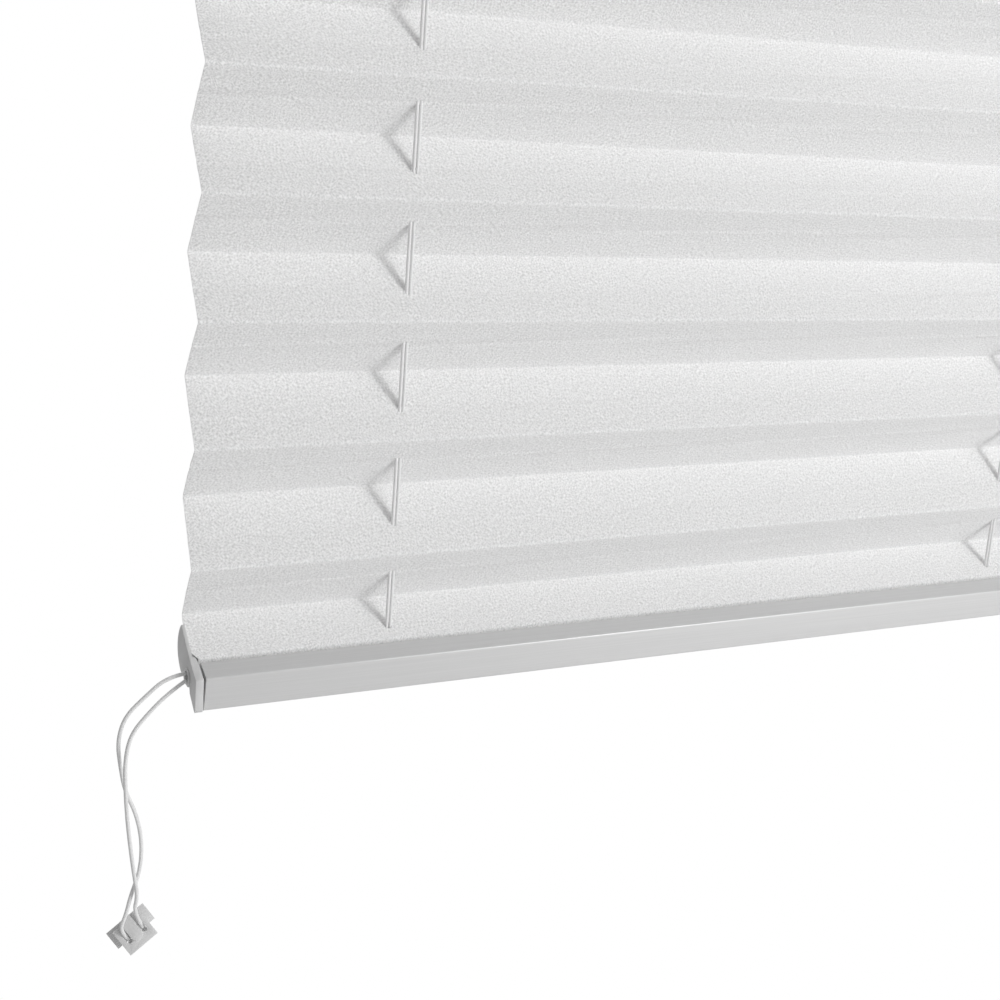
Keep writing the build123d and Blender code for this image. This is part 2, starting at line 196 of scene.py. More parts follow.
# %% Crepe material
ripple_width = 0.25      # mm across one ripple
ripple_length = 0.75     # mm along it
ripple_depth = 0.07      # mm
patch_size = 3.2         # mm across a patch that leans one way
slants = (42, -47)       # degrees that the ripples lean, in one patch and in the next


def crepe_ripples(tree, cloth, slant):
    """Noise drawn out along one diagonal of the cloth."""
    turned = add(tree, "ShaderNodeMapping", {"Vector": cloth, "Rotation": (0, 0, math.radians(slant))})
    stretch = (1, ripple_width / ripple_length, 1)
    drawn = add(tree, "ShaderNodeMapping", {"Vector": turned.outputs["Vector"], "Scale": stretch})
    settings = {"Scale": per_mm(ripple_width), "Detail": 1.0, "Roughness": 0.4}
    noise = add(tree, "ShaderNodeTexNoise", {"Vector": drawn.outputs["Vector"], **settings})
    return noise.outputs["Fac"]


def make_crepe():
    material, tree, shader = new_material("woven_polyester_crepe", 0xF0F0F0, 0.9, Specular_IOR_Level=0.2)
    cloth = add(tree, "ShaderNodeUVMap", uv_map="cut_cloth").outputs["UV"]
    one, other = [crepe_ripples(tree, cloth, slant) for slant in slants]
    patches = add(tree, "ShaderNodeTexNoise",
                  {"Vector": cloth, "Scale": per_mm(patch_size), "Detail": 2.0})
    split = add(tree, "ShaderNodeMapRange",
                {"Value": patches.outputs["Fac"], "From Min": 0.46, "From Max": 0.54})
    ripples = add(tree, "ShaderNodeMix",
                  {"Factor": split.outputs["Result"], "A": one, "B": other}, data_type="FLOAT")
    tint(tree, shader, ripples.outputs["Result"], 0xD8D8D8, 0xFFFFFF, 0.37, 0.63)
    bump(tree, shader, ripples.outputs["Result"], ripple_depth)
    return material


crepe = make_crepe()
print("made", crepe.name)

# %% [markdown]
# ## The rails' aluminium
# Both rails are extruded aluminium with a thin satin silver lacquer, which dulls the metal to an even
# grey with a soft shine. Extrusion leaves faint lines along the rail, so the noise is drawn out along
# X. The real lines are much finer, and are drawn as coarse as they need to be to show.

# %% Lacquered aluminium
line_width = 0.35      # mm
line_length = 60.0     # mm
line_depth = 0.002     # mm


def make_aluminium():
    material, tree, shader = new_material("satin_lacquered_aluminium", 0xD7D7D7, 0.42, Metallic=0.3,
                                          Coat_Weight=0.35, Coat_Roughness=0.22)
    place = add(tree, "ShaderNodeTexCoord").outputs["Object"]
    drawn = add(tree, "ShaderNodeMapping", {"Vector": place, "Scale": (line_width / line_length, 1, 1)})
    settings = {"Scale": per_mm(line_width), "Detail": 3.0, "Roughness": 0.6}
    noise = add(tree, "ShaderNodeTexNoise", {"Vector": drawn.outputs["Vector"], **settings})
    lines = noise.outputs["Fac"]
    tint(tree, shader, lines, 0xD4D4D4, 0xD9D9D9)
    gloss = add(tree, "ShaderNodeMapRange", {"Value": lines, "To Min": 0.42, "To Max": 0.5})
    tree.links.new(gloss.outputs["Result"], shader.inputs["Roughness"])
    bump(tree, shader, lines, line_depth)
    return material


aluminium = make_aluminium()
print("made", aluminium.name)

# %% [markdown]
# ## Moulded plastics
# Caps and guides are moulded ABS with a spark-eroded, slightly grainy face. The clips are acetal,
# which is paler, smoother and a little waxy, and the strips are extruded PVC. One function serves
# them all: the grain is a fine noise, and a slow one shifts the grey where the melt cooled unevenly.

# %% Moulded plastics
cloud_size = 6.0     # mm across a lighter or darker patch in a moulding


def make_plastic(name, dark, light, roughness, grain_mm, depth_mm, **sockets):
    material, tree, shader = new_material(name, light, roughness, **sockets)
    place = add(tree, "ShaderNodeTexCoord").outputs["Object"]
    grain = add(tree, "ShaderNodeTexNoise", {"Vector": place, "Scale": per_mm(grain_mm), "Detail": 2.0})
    cloud = add(tree, "ShaderNodeTexNoise", {"Vector": place, "Scale": per_mm(cloud_size), "Detail": 3.0})
    tint(tree, shader, cloud.outputs["Fac"], dark, light)
    bump(tree, shader, grain.outputs["Fac"], depth_mm)
    return material


cap_abs = make_plastic("moulded_grey_abs", 0xCFCFCF, 0xD7D7D7, 0.5, 0.25, 0.02)
clip_acetal = make_plastic("moulded_pale_acetal", 0xDCDCDC, 0xE6E6E6, 0.38, 0.3, 0.012, Coat_Weight=0.1)
guide_abs = make_plastic("moulded_white_abs", 0xD6D6D4, 0xE2E2E0, 0.4, 0.3, 0.015)
strip_pvc = make_plastic("extruded_white_pvc", 0xD2D2D0, 0xDDDDDB, 0.5, 0.3, 0.015)
print("made", cap_abs.name, clip_acetal.name, guide_abs.name, strip_pvc.name)

# %% [markdown]
# ## Steel for the brackets and springs
# The brackets are pressed steel under a grey powder coat, which sets with a fine orange peel. The
# springs are bright drawn wire. Its draw marks are too fine to show, so they are drawn coarser.

# %% Steels
peel_size = 0.8           # mm
draw_mark_size = 0.3      # mm


def make_powder_coat():
    material, tree, shader = new_material("powder_coated_steel", 0xBFC0C1, 0.46, Coat_Weight=0.1)
    place = add(tree, "ShaderNodeTexCoord").outputs["Object"]
    peel = add(tree, "ShaderNodeTexNoise", {"Vector": place, "Scale": per_mm(peel_size), "Detail": 2.0})
    tint(tree, shader, peel.outputs["Fac"], 0xB6B7B8, 0xC4C5C6)
    bump(tree, shader, peel.outputs["Fac"], 0.03)
    return material


def make_spring_wire():
    material, tree, shader = new_material("drawn_spring_wire", 0xA8A9AC, 0.28, Metallic=1.0)
    place = add(tree, "ShaderNodeTexCoord").outputs["Object"]
    scale = per_mm(draw_mark_size)
    marks = add(tree, "ShaderNodeTexNoise", {"Vector": place, "Scale": scale, "Detail": 3.0})
    tint(tree, shader, marks.outputs["Fac"], 0x96979A, 0xB4B5B8)
    bump(tree, shader, marks.outputs["Fac"], 0.01)
    return material


powder_coat = make_powder_coat()
spring_wire = make_spring_wire()
print("made", powder_coat.name, "and", spring_wire.name)

# %% [markdown]
# ## The cord
# The cord is braided polyester, about a millimetre thick. Its braid is real geometry below, so the
# material only adds the filaments' sheen and a fibre noise on the cord's own UV map. Real filaments
# are far finer, and are drawn as coarse as they need to be to show.

# %% Braided polyester
fibre_size = 0.2     # mm


def make_braid_material():
    material, tree, shader = new_material("braided_polyester", 0xECECEC, 0.7, Sheen_Weight=0.15,
                                          Specular_IOR_Level=0.35)
    along = add(tree, "ShaderNodeUVMap", uv_map="along_cord").outputs["UV"]
    fibres = add(tree, "ShaderNodeTexNoise", {"Vector": along, "Scale": per_mm(fibre_size), "Detail": 2.0})
    tint(tree, shader, fibres.outputs["Fac"], 0xE0E0E0, 0xF6F6F6)
    bump(tree, shader, fibres.outputs["Fac"], 0.02)
    return material


braid = make_braid_material()
materials = {
    "rail_aluminium": aluminium, "bracket_steel": powder_coat, "crepe_fabric": crepe,
    "spring_steel": spring_wire, "braided_cord": braid, "cap_plastic": cap_abs,
    "clip_plastic": clip_acetal, "strip_plastic": strip_pvc, "guide_plastic": guide_abs,
}
print("materials:", sorted(material.name for material in materials.values()))

# %% [markdown]
# ## Cords
# A cord is a fixed length of something flexible. Its route is a handful of listed points,
# and a NURBS spline rounds them off, as a limp cord does. A mesh tube then follows the spline:
# rings of vertices are swept along it, each turned as little as possible from the last one, and
# pushed in and out by the braid, where strands cross over and under each other.

# %% Sweep a braided tube along a route
cord_diameter = 0.85 * MM
tail_diameter = 1.0 * MM     # the braid swells where nothing pulls it
strand_count = 4             # strands leaning each way
braid_pitch = 2.6 * MM       # length of one turn of a strand
braid_relief = 0.08 * MM     # depth of the gaps between strands
braid_crossing = 0.12        # how far one strand goes over or under another, as a share of that


def spline_points(name, route):
    """Points read from a NURBS spline with these control points, and then thrown away."""
    data = bpy.data.curves.new(name + "_route", "CURVE")
    data.dimensions = "3D"
    data.resolution_u = 16
    spline = data.splines.new("NURBS")
    spline.points.add(len(route) - 1)
    for point, place in zip(spline.points, route):
        point.co = (*place, 1)
    spline.order_u = 3
    spline.use_endpoint_u = True
    guide = bpy.data.objects.new(name + "_route", data)
    bpy.context.scene.collection.objects.link(guide)
    bpy.context.view_layer.update()
    line = bpy.data.meshes.new_from_object(guide)
    points = [vertex.co.copy() for vertex in line.vertices]
    bpy.data.objects.remove(guide)
    bpy.data.curves.remove(data)
    bpy.data.meshes.remove(line)
    return points


def evenly(points, step):
    """The same line with points at even distances, and its length."""
    lengths = [0.0]
    for before, after in zip(points, points[1:]):
        lengths.append(lengths[-1] + (after - before).length)
    count = max(2, round(lengths[-1] / step))
    spaced = []
    place = 0
    for index in range(count + 1):
        wanted = lengths[-1] * index / count
        while place < len(lengths) - 2 and lengths[place + 1] < wanted:
            place += 1
        share = (wanted - lengths[place]) / max(lengths[place + 1] - lengths[place], 1e-12)
        spaced.append(points[place].lerp(points[place + 1], share))
    return spaced, lengths[-1]


def braid_radius(angle, along, diameter):
    """The cord's radius at one point: the higher of two crossing sets of strands."""
    twist = 2 * math.pi * along / braid_pitch
    one = strand_count / 2 * (angle + twist)
    other = strand_count / 2 * (angle - twist)
    over = braid_crossing * math.sin(2 * one) * math.sin(2 * other)
    height = max(abs(math.cos(one)) + over, abs(math.cos(other)) - over)
    return diameter / 2 - braid_relief * (1 - height)


def link_mesh(name, data):
    """A new object at the origin for a finished mesh."""
    piece = bpy.data.objects.new(name, data)
    bpy.context.scene.collection.objects.link(piece)
    return piece


def braided_tube(name, line, diameter, step, sides):
    """A closed tube with a braid, along an evenly divided line."""
    mesh = bmesh.new()
    uv = mesh.loops.layers.uv.new("along_cord")
    direction = (line[1] - line[0]).normalized()
    across = direction.orthogonal().normalized()
    rings = []
    for index, place in enumerate(line):
        before = line[max(index - 1, 0)]
        after = line[min(index + 1, len(line) - 1)]
        direction = (after - before).normalized()
        across = (across - direction * across.dot(direction)).normalized()
        beside = direction.cross(across)
        ring = []
        for side in range(sides):
            angle = 2 * math.pi * side / sides
            radius = braid_radius(angle, index * step, diameter)
            out = across * math.cos(angle) + beside * math.sin(angle)
            ring.append(mesh.verts.new(place + out * radius))
        rings.append(ring)
    for index in range(len(rings) - 1):
        for side in range(sides):
            following = (side + 1) % sides
            corners = (rings[index][side], rings[index][following],
                       rings[index + 1][following], rings[index + 1][side])
            face = mesh.faces.new(corners)
            face.smooth = True
            marks = ((side, index), (side + 1, index), (side + 1, index + 1), (side, index + 1))
            for loop, (round_mark, along_mark) in zip(face.loops, marks):
                loop[uv].uv = (round_mark / sides * math.pi * diameter, along_mark * step)
    mesh.faces.new(rings[0][::-1])
    mesh.faces.new(rings[-1])
    data = bpy.data.meshes.new(name)
    mesh.to_mesh(data)
    mesh.free()
    data.materials.append(braid)
    return link_mesh(name, data)


print("cord and tail are", round(cord_diameter / MM, 2), "and", round(tail_diameter / MM, 2), "mm thick")

# %% [markdown]
# ## The tail cords
# Two tails leave the left eyelet, sag over, cross twice as they hang and end in the clip. The clip
# hangs askew, so the last points are given in its own axes: along it, up it and out of its face.
# The right-hand pair is the mirror image.

# %% Tail cords
back_route = [
    (0, 0.35, 0.75), (-4.6, 0.6, 0.2), (-9.8, 1.0, -4.4), (-14.7, 1.3, -9.2), (-16.3, 1.5, -15.6),
    (-15.4, 1.6, -22.3), (-14.2, 1.6, -28.8), (-11.3, 1.5, -35.2), (-9.7, 1.3, -42.9),
    (-10.0, 1.3, -50.8), (-12.3, 1.3, -57.3), (-13.7, 0.4, -62.0),
]
front_route = [
    (0, -0.35, -0.75), (-4.2, -0.4, -3.4), (-9.3, -0.5, -8.1), (-13.7, -0.6, -13.2),
    (-15.0, -0.7, -20.0), (-14.7, -0.7, -27.8), (-14.1, -0.6, -35.6), (-13.1, -0.4, -43.6),
    (-12.0, -0.2, -51.0), (-11.0, -0.3, -57.0),
]
back_in_clip = [(-2.8, 2.4, 1.6), (-2.2, -0.9, -1.15)]
front_in_clip = [(2.8, 3.8, 1.9), (2.2, -0.8, -1.15)]

clip_middle = tail_exit + Vector((-11.65, 0.1, -66.7)) * MM
clip_along = Vector((0.820, 0.040, 0.571)).normalized()
clip_out = Vector((-0.251, -0.872, 0.421)).normalized()
clip_up = clip_out.cross(clip_along)


def in_clip(place):
    """A point given in the clip's own axes, in millimetres."""
    x, y, z = place
    return clip_middle + (clip_along * x + clip_up * y + clip_out * z) * MM


def tail_route(route, ending, side):
    """A tail's points in metres, on the left or mirrored to the right."""
    places = [tail_exit + Vector(place) * MM for place in route]
    places += [in_clip(place) for place in ending]
    return [Vector((place.x * side, place.y, place.z)) for place in places]


tail_step = 0.13 * MM
tail_sides = 20
tail_routes = {"back": (back_route, back_in_clip), "front": (front_route, front_in_clip)}
for side_name, side in (("left", 1), ("right", -1)):
    for name, (route, ending) in tail_routes.items():
        node = f"tail_cord_{side_name}_{name}"
        places = tail_route(route, ending, side)
        line, length = evenly(spline_points(node, places), tail_step)
        tail = braided_tube(node + "_braid", line, tail_diameter, length / (len(line) - 1), tail_sides)
        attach(tail, "bottom_rail")
        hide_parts(node)
        print(node, "is", round(length / MM, 1), "mm long")

# %% [markdown]
# ## The guide cords in the folds
# Each column has two cords, side by side and tight, from the headrail down into the bottom rail.
# They are straight, so their route is one run. As the rail rises they are drawn into it.

# %% Guide cords
def follow_rail(piece):
    """Gives a piece a mesh of its own."""
    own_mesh(piece)


column_step = 0.32 * MM
column_sides = 14
for node in sorted(name for name in nodes if name.startswith("column_cord")):
    low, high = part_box(node)
    centre = middle(node)
    ends = [Vector((centre.x, centre.y, high.z)), Vector((centre.x, centre.y, low.z))]
    line, length = evenly(ends, column_step)
    strand = braided_tube(node + "_braid", line, cord_diameter, length / (len(line) - 1), column_sides)
    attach(strand, "headrail")
    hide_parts(node)
    follow_rail(strand)
print("column cords are", round(length / MM, 1), "mm long")

# %% [markdown]
# ## The pleated sheet
# The fold line is drawn once, from the headrail's slot to the bottom rail's: down each face, round a
# tight fold, and back. Rows of vertices follow it, and columns cross it. Each face bulges a little
# towards its middle and drifts slightly from side to side, because cloth is never quite flat.
# Round each pair of cords the rows and columns close in, so that the cells in the middle can be left
# out and their rim pushed out to the punched slot.

# %% Fold line
fold_pitch = 29.5 * MM
ridge_count = 17
fold_middle_y = (fabric_low.y + fabric_high.y) / 2
fold_reach = 6.78 * MM      # from the middle to the ridge line, and to the valley line
fold_radius = 0.45 * MM
cloth_thickness = 0.25 * MM
last_valley_z = rail_low.z + 21.15 * MM
upper_slot_y = fold_middle_y + 0.9 * MM
upper_end_z = headrail_low.z + 2.5 * MM
upper_mouth_z = headrail_low.z + 0.4 * MM
lower_slot_y = fold_middle_y - 3.9 * MM
lower_mouth_z = rail_low.z + 11.75 * MM
lower_end_z = rail_low.z + 9.4 * MM


def fold_corners():
    """The fold line's corners, from its end in the headrail's slot down to its end in the rail's."""
    first_ridge_z = last_valley_z + (ridge_count - 0.5) * fold_pitch
    corners = [(upper_slot_y, upper_end_z), (upper_slot_y, upper_mouth_z)]
    for index in range(ridge_count):
        ridge_z = first_ridge_z - index * fold_pitch
        corners.append((fold_middle_y + fold_reach, ridge_z + fold_pitch / 2))
        corners.append((fold_middle_y - fold_reach, ridge_z))
    corners.append((fold_middle_y + fold_reach, last_valley_z))
    corners += [(lower_slot_y, lower_mouth_z), (lower_slot_y, lower_end_z)]
    return [Vector((0, y, z)) for y, z in corners]


def rounded_corner(before, corner, after, steps=3):
    """Points on a small arc that replaces a corner, from the tangent point in to the one out."""
    into = (before - corner).normalized()
    out = (after - corner).normalized()
    half = into.angle(out) / 2
    reach = fold_radius / math.tan(half)
    centre = corner + (into + out).normalized() * (fold_radius / math.sin(half))
    start = corner + into * reach - centre
    end = corner + out * reach - centre
    spokes = [start.lerp(end, step / steps).normalized() for step in range(steps + 1)]
    return [centre + spoke * fold_radius for spoke in spokes]


print("the fold line has", len(fold_corners()), "corners")

# %% [markdown]
# A face gets rows at a few even shares of it, beside its slot, and five more through the slot, marked
# from -2 to 2. Columns are marked in the same way. A row knows its place, its mark at the slot, the
# normal of its face, how much of the face's bulge it has, and its fold number, which counts on
# through the face.

# %% Rows and columns of the sheet
Row = namedtuple("Row", "place mark normal bulge fold")
Column = namedtuple("Column", "x centre mark")
slot_marks = (-2, -1, 0, 1, 2)
slot_half_width = 1.05 * MM            # round both strands, side by side
slot_half_depth = 0.58 * MM            # front to back, so the slot is longer down the slanting face
punch_margin = 1.7 * MM                # from the slot's middle to the rows and columns beside it
row_clearance = 1.3 * punch_margin     # rows and columns that are nearer to the slot are left out
column_clearance = 1.5 * punch_margin
even_shares = (0.12, 0.26, 0.74, 0.88)
shortest_face = 8 * MM                 # a shorter stretch lies in a rail's slot, and is left plain
column_spacing = 4.6 * MM


def rows_of_sheet():
    """Every row of the sheet, from the headrail down."""
    corners = fold_corners()
    rows = []
    for index in range(len(corners) - 1):
        start, end = corners[index], corners[index + 1]
        if index > 0:
            arc = rounded_corner(corners[index - 1], start, end)
            rows += [Row(place, None, None, 0.0, index) for place in arc]
            start = arc[-1]
        else:
            rows.append(Row(start, None, None, 0.0, index))
        if index + 2 < len(corners):
            end = rounded_corner(start, end, corners[index + 2])[0]
        run = end - start
        if run.length < shortest_face:
            continue
        normal = Vector((0, -run.z, run.y)).normalized()
        half_slot = slot_half_depth * run.length / abs(run.y)
        middle_share = (cord_line_y - start.y) / run.y
        reach = row_clearance / run.length
        marks = [(share, None) for share in even_shares if abs(share - middle_share) > reach]
        marks += [(middle_share + offset / run.length, None) for offset in (-punch_margin, punch_margin)]
        marks += [(middle_share + mark * half_slot / 2 / run.length, mark) for mark in slot_marks]
        for share, mark in sorted(marks, key=lambda item: item[0]):
            rows.append(Row(start + run * share, mark, normal, math.sin(math.pi * share), index + share))
    rows.append(Row(corners[-1], None, None, 0.0, len(corners) - 1))
    return rows


def columns_of_sheet():
    """Every column of the sheet, from left to right, with the middle and mark of the slot it crosses."""
    half = (fabric_high.x - fabric_low.x) / 2
    made = []
    for centre in column_centres:
        made += [Column(centre + mark * slot_half_width / 2, centre, mark) for mark in slot_marks]
        made += [Column(centre + offset, None, None) for offset in (-punch_margin, punch_margin)]
    count = round(2 * half / column_spacing)
    for index in range(count + 1):
        x = -half + 2 * half * index / count
        if all(abs(x - centre) > column_clearance for centre in column_centres):
            made.append(Column(x, None, None))
    return sorted(made, key=lambda column: column.x)


column_centres = [(middle(f"column_cord_{side}_outer").x + middle(f"column_cord_{side}_inner").x) / 2
                  for side in ("left", "right")]
cord_line_y = middle("column_cord_left_outer").y
rows = rows_of_sheet()
columns = columns_of_sheet()
print("sheet has", len(rows), "rows and", len(columns), "columns")

# %% [markdown]
# Pressed folds never settle quite evenly, so each one lies a little higher or lower than its place,
# and more so at one end than at the other.

# %% How evenly the folds hang
last_fold = 2 * ridge_count + 2
usual_lift = 0.3     # mm, the most for the folds that aren't in the list
# each of the lowest folds, counted up from the last valley, as its lift in mm at the left and right end
low_folds = {0: (-1.3, -0.6), 1: (-0.5, -0.2), 2: (-0.4, 0.6), 3: (-0.3, -0.1), 4: (-0.1, 0.2),
             5: (0.3, -1.0), 6: (0.0, -0.9), 7: (0.3, -1.1), 8: (-0.5, -1.5), 9: (-0.7, 0.0),
             10: (-0.9, 0.8)}


def higher_fold_lift(fold):
    """The lift in mm of a fold further up, at its left and right end."""
    return usual_lift * math.sin(2.3 * fold), usual_lift * math.sin(3.1 * fold + 1)


def fold_lift(fold, x):
    """How far one fold lies above its even place, in metres, at its place along the width."""
    if fold < 2 or fold > last_fold:
        return 0.0
    left, right = low_folds.get(last_fold - fold, higher_fold_lift(fold))
    share = (x + fabric_high.x) / (2 * fabric_high.x)
    return (left + (right - left) * share) * MM


def lifted(fold, x):
    """The lift between two folds changes evenly down the face."""
    above = math.floor(fold)
    share = fold - above
    return Vector((0, 0, fold_lift(above, x) * (1 - share) + fold_lift(above + 1, x) * share))


print("in the middle the last valley lies", round(fold_lift(last_fold, 0) / MM, 2), "mm off its even place")

# %% [markdown]
# Two sines along the width, shifted from row to row, move the cloth by a tenth of a millimetre or so.
# At the cut ends the pressed folds spring a little: ridges stand further out, and the lowest valleys
# are drawn in. Between the end caps the sheet is cut narrower.

# %% How the cloth differs from flat faces
face_bulge = 0.18 * MM
drift = 0.10 * MM
long_wave = (55, 0.9)        # radians for each metre of width, and for each row
short_wave = (131, 2.1)
short_wave_share = 0.6
last_face_row = max(index for index, row in enumerate(rows) if row.fold <= last_fold)
ridge_flare = 1.4 * MM
valley_draw = 1.0 * MM
first_drawn_z = rail_low.z + 110 * MM
flare_power = 12             # keeps the flare near the cut ends
headrail_step = 3 * MM       # the height over which the sheet gets narrower
cap_clearance = 0.2 * MM
cap_top_z = rail_low.z + 13.4 * MM
cap_step = 1.2 * MM
fin_top_z = rail_low.z + 20.2 * MM
fin_step = 1.6 * MM
fin_cut = 0.65 * MM


def clamped(share):
    """A share kept between 0 and 1."""
    return min(max(share, 0), 1)


def cloth_offset(index, x, normal, bulge):
    """How far a point of a face stands off the flat face."""
    if normal is None or index > last_face_row:
        return Vector((0, 0, 0))
    waves = [math.sin(x * turns + index * shift) for turns, shift in (long_wave, short_wave)]
    wave = waves[0] + short_wave_share * waves[1]
    return normal * (face_bulge * bulge + drift * wave * bulge)


def flare(x, place):
    """How far the cut edge stands out sideways at a ridge, or in at a low valley."""
    forward = clamped((fold_middle_y + fold_reach - place.y) / (2 * fold_reach))
    low = clamped((first_drawn_z - place.z) / (first_drawn_z - last_valley_z))
    reach = ridge_flare * forward - valley_draw * low ** 2 * (1 - forward)
    side = 1 if x > 0 else -1
    return side * reach * abs(x / fabric_high.x) ** flare_power


def narrowed(x, place):
    """A point's x after the sheet is cut narrower between the end caps, and flared elsewhere."""
    half = fabric_high.x
    between_caps = half + rail_low.x - cap_clearance
    top_share = clamped((place.z - (headrail_low.z - headrail_step)) / headrail_step)
    fin_share = clamped((fin_top_z - place.z) / fin_step)
    cap_share = clamped((cap_top_z - place.z) / cap_step)
    cut = max(top_share * between_caps, fin_share * fin_cut, cap_share * between_caps)
    return x * (1 - cut / half) + flare(x, place) * (1 - max(top_share, fin_share))


widest = max(narrowed(fabric_high.x, row.place) for row in rows)
print("at its widest ridge the sheet reaches", round(widest / MM, 2), "mm from the middle")

# %% [markdown]
# The sheet is built cell by cell, without the cells inside each slot. The corners on the slot's edge
# form a rectangle, so they are moved to an oval.

# %% Build the sheet
def on_slot_edge(row, column):
    """Is this corner on the edge of a punched slot?"""
    if row.mark is None or column.mark is None:
        return False
    return max(abs(row.mark), abs(column.mark)) == 2


def on_rim(spot, row, column):
    """A corner on a slot's edge, moved to the slot's oval rim."""
    run = Vector((0, row.normal.z, -row.normal.y))
    run = run if run.z < 0 else -run
    angle = math.atan2(row.mark, column.mark)
    slope = slot_half_depth / abs(run.y)
    spot = spot + Vector((slot_half_width * math.cos(angle) - (spot.x - column.centre), 0, 0))
    return spot + run * slope * (math.sin(angle) - row.mark / 2)


def in_slot(index, place):
    """Is the cell that starts at this row and column inside a punched slot?"""
    left, right = columns[place], columns[place + 1]
    marks = (rows[index].mark, rows[index + 1].mark, left.mark, right.mark)
    return all(mark is not None for mark in marks) and left.centre == right.centre


def build_sheet():
    """The sheet as an object, and the length that its cloth was cut to."""
    mesh = bmesh.new()
    uv = mesh.loops.layers.uv.new("cut_cloth")
    down = 0.0
    grid = []
    depths = []
    for index, row in enumerate(rows):
        if index:
            down += (row.place - rows[index - 1].place).length
        depths.append(down)
        line = []
        for column in columns:
            spot = Vector((narrowed(column.x, row.place), row.place.y, row.place.z))
            spot += cloth_offset(index, column.x, row.normal, row.bulge)
            spot += lifted(row.fold, column.x)
            if on_slot_edge(row, column):
                spot = on_rim(spot, row, column)
            line.append(mesh.verts.new(spot))
        grid.append(line)
    for index in range(len(rows) - 1):
        for place in range(len(columns) - 1):
            if in_slot(index, place):
                continue
            corners = ((index, place), (index + 1, place), (index + 1, place + 1), (index, place + 1))
            face = mesh.faces.new([grid[down_mark][across_mark] for down_mark, across_mark in corners])
            face.smooth = True
            for loop, (down_mark, across_mark) in zip(face.loops, corners):
                loop[uv].uv = (columns[across_mark].x, depths[down_mark])
    loose = [vertex for vertex in mesh.verts if not vertex.link_faces]
    bmesh.ops.delete(mesh, geom=loose, context="VERTS")
    data = bpy.data.meshes.new("pleated_sheet")
    mesh.to_mesh(data)
    mesh.free()
    data.materials.append(crepe)
    return link_mesh("pleated_sheet", data), depths[-1]


sheet, cut_length = build_sheet()
print("the sheet was cut", round(cut_length / MM), "mm long")

# %% [markdown]
# A Solidify modifier gives the cloth its thickness, half to each side. Shading by angle keeps the
# thin cut edges crisp and lets the tight folds run round. The sheet hangs from the headrail.

# %% Finish the sheet
cut_edge_angle = 40


def select_only(piece):
    """Selects one piece and makes it active, since an operator acts on all that is selected."""
    bpy.ops.object.select_all(action="DESELECT")
    piece.select_set(True)
    bpy.context.view_layer.objects.active = piece


def apply_modifier(piece, kind, **settings):
    """Adds a modifier with its settings and applies it."""
    select_only(piece)
    made = piece.modifiers.new(kind.title(), kind)
    for name, value in settings.items():
        setattr(made, name, value)
    bpy.ops.object.modifier_apply(modifier=made.name)


apply_modifier(sheet, "SOLIDIFY", thickness=cloth_thickness, offset=0.0)
bpy.ops.object.shade_smooth_by_angle(angle=math.radians(cut_edge_angle))
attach(sheet, "headrail")
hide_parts("pleated_fabric")
follow_rail(sheet)
print("the sheet has", len(sheet.data.polygons), "faces")

# %% [markdown]
# ## Softened edges
# Moulded and extruded pieces have their right shape in the CAD model, but its edges are perfectly
# sharp, and nothing real is. A copy of each is merged into one skin, its flat faces are joined
# again, and a small bevel catches the light along the edges.

# %% Softened copies
merge_distance = 0.002 * MM
flat_angle = 1        # degrees between faces that count as one flat face
edge_angle = 32       # degrees from which an edge counts as sharp
slot_of = {item["node"]: item["material_slot"] for item in frame["record"]["subparts"]}
bodies = frame["record"]["behaviour"]["bodies"]
body_of = {node: body for body, members in bodies.items() for node in members}


def softened_copy(node, suffix, bevel_mm, segments=2):
    """A merged and bevelled copy of a CAD node, riding where the node does."""
    piece = link_mesh(node + suffix, nodes[node].data.copy())
    select_only(piece)
    bpy.ops.object.mode_set(mode="EDIT")
    bpy.ops.mesh.select_all(action="SELECT")
    bpy.ops.mesh.remove_doubles(threshold=merge_distance)
    bpy.ops.mesh.dissolve_limited(angle_limit=math.radians(flat_angle))
    bpy.ops.object.mode_set(mode="OBJECT")
    apply_modifier(piece, "BEVEL", width=bevel_mm * MM, segments=segments, limit_method="ANGLE",
                   angle_limit=math.radians(edge_angle))
    bpy.ops.object.shade_smooth_by_angle(angle=math.radians(edge_angle))
    piece.data.materials.clear()
    piece.data.materials.append(materials[slot_of[node]])
    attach(piece, body_of[node])
    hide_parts(node)
    return piece


for stem, bevel_mm in (("bottom_cap", 0.22), ("cord_clip", 0.12), ("cord_eyelet", 0.06),
                       ("headrail_cap", 0.2), ("wall_bracket", 0.2)):
    for side_name in ("left", "right"):
        piece = softened_copy(f"{stem}_{side_name}", "_moulded", bevel_mm)
        print(piece.name, "has", len(piece.data.polygons), "faces")
for node in ("bottom_rail", "headrail"):
    piece = softened_copy(node, "_extruded", 0.3, segments=3)
    print(piece.name, "has", len(piece.data.polygons), "faces")

# %% [markdown]
# ## Every other CAD piece
# The springs with their joiners and anchors, the strips, guides and knots and the cords inside the
# rails keep their CAD shape and take the material of their slot. The nodes that a new piece replaces
# are hidden, and are left alone.

# %% Materials for the CAD pieces
plain = [node for node in slot_of if not nodes[node].hide_render]
for node in plain:
    nodes[node].data.materials.clear()
    nodes[node].data.materials.append(materials[slot_of[node]])
print(len(plain), "nodes keep their CAD shape")
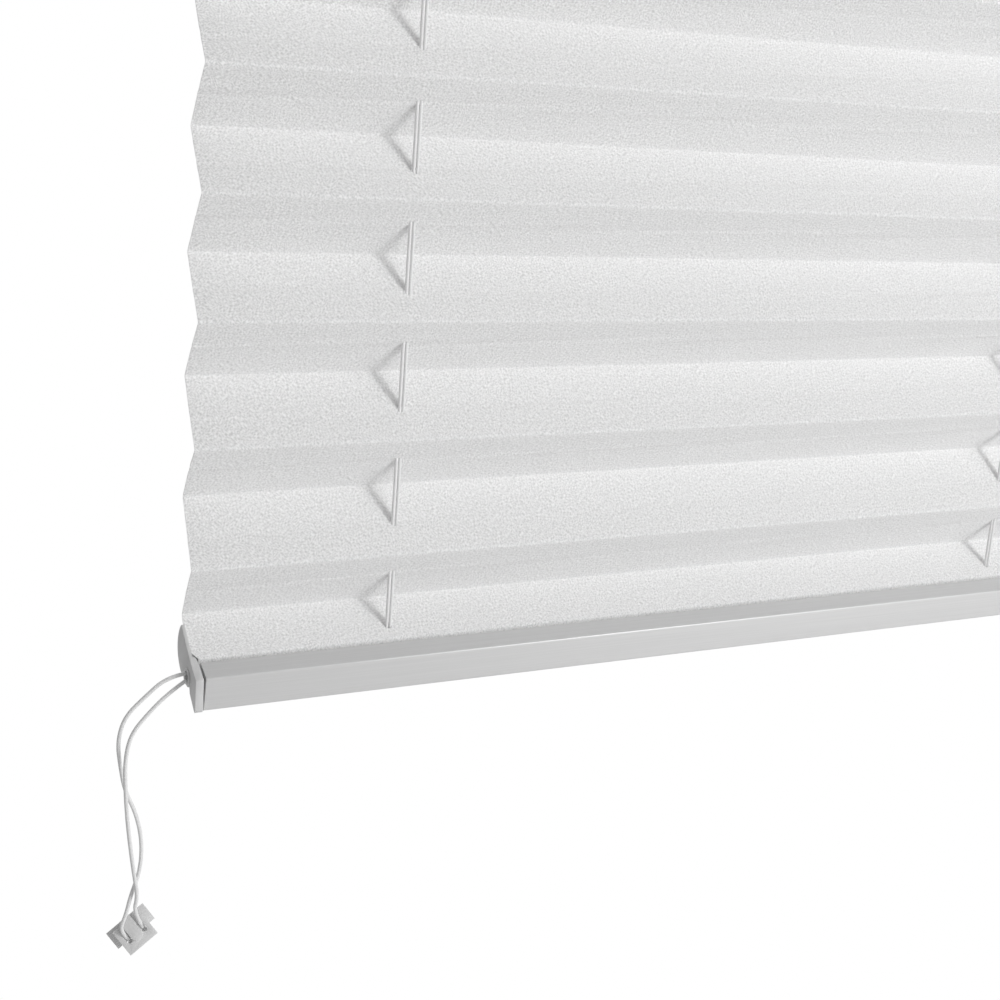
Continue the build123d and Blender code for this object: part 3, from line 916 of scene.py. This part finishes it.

# %% [markdown]

# %% [markdown]
# ## Room and light
# The floor lies well below, pale and plain. The room's even light is dim, and lamps do the rest:
# a small key lamp, a little to the right and above, gives the folds lighter and darker faces and
# lays a shadow beside each guide cord, and a wide fill lamp further right lifts the shadows. A third
# lamp lights the back. The surroundings still look plain white, because room and floor are bright
# only where they are seen directly.

# %% Floor and room
floor_drop = 0.6
floor_size = 30
floor_z = cad_box[0][2] - floor_drop
bpy.ops.object.select_all(action="DESELECT")
bpy.ops.mesh.primitive_plane_add(size=floor_size, location=(0, 0, floor_z))
floor = bpy.context.object
floor.name = "floor"
floor_paint, floor_tree, floor_shader = new_material("floor_paint", 0xFAFAFA, 0.9)
seen = add(floor_tree, "ShaderNodeLightPath").outputs["Is Camera Ray"]
white = add(floor_tree, "ShaderNodeEmission", {"Color": (1, 1, 1, 1), "Strength": 1.0})
chosen = add(floor_tree, "ShaderNodeMixShader", {0: seen, 1: floor_shader.outputs["BSDF"],
                                                 2: white.outputs["Emission"]})
floor_tree.links.new(chosen.outputs["Shader"], floor_tree.nodes["Material Output"].inputs["Surface"])
floor.data.materials.append(floor_paint)

room_light = 0.345
world = bpy.data.worlds.new("white_room")
bpy.context.scene.world = world
world.use_nodes = True
background = world.node_tree.nodes["Background"]
background.inputs["Color"].default_value = (1, 1, 1, 1)
seen = add(world.node_tree, "ShaderNodeLightPath").outputs["Is Camera Ray"]
level = add(world.node_tree, "ShaderNodeMapRange", {"Value": seen, "To Min": room_light, "To Max": 1.0})
world.node_tree.links.new(level.outputs["Result"], background.inputs["Strength"])
print("floor at", round(floor_z, 3), "m")

# %% Lamps
lamp_aim = Vector((0, 0, -0.40))
lamp_distance = 1.6


def area_light(name, azimuth, elevation, size, power):
    """A square lamp aimed at the blind's lower half, from a direction in degrees."""
    around, up = math.radians(azimuth), math.radians(elevation)
    flat = math.cos(up) * lamp_distance
    place = lamp_aim + Vector((flat * math.sin(around), -flat * math.cos(around),
                               lamp_distance * math.sin(up)))
    data = bpy.data.lights.new(name, "AREA")
    data.shape = "SQUARE"
    data.size = size
    data.energy = power
    lamp = bpy.data.objects.new(name, data)
    bpy.context.scene.collection.objects.link(lamp)
    turned = (lamp_aim - place).to_track_quat("-Z", "Y").to_matrix().to_4x4()
    lamp.matrix_world = Matrix.Translation(place) @ turned
    print(name, "stands at", [round(value, 2) for value in place])


area_light("key_lamp", 30, 25, 0.4, 8.4)
area_light("fill_lamp", 35, 0, 1.6, 10.0)
area_light("back_lamp", 190, 20, 1.2, 9.0)
bpy.context.scene.view_settings.view_transform = "Standard"
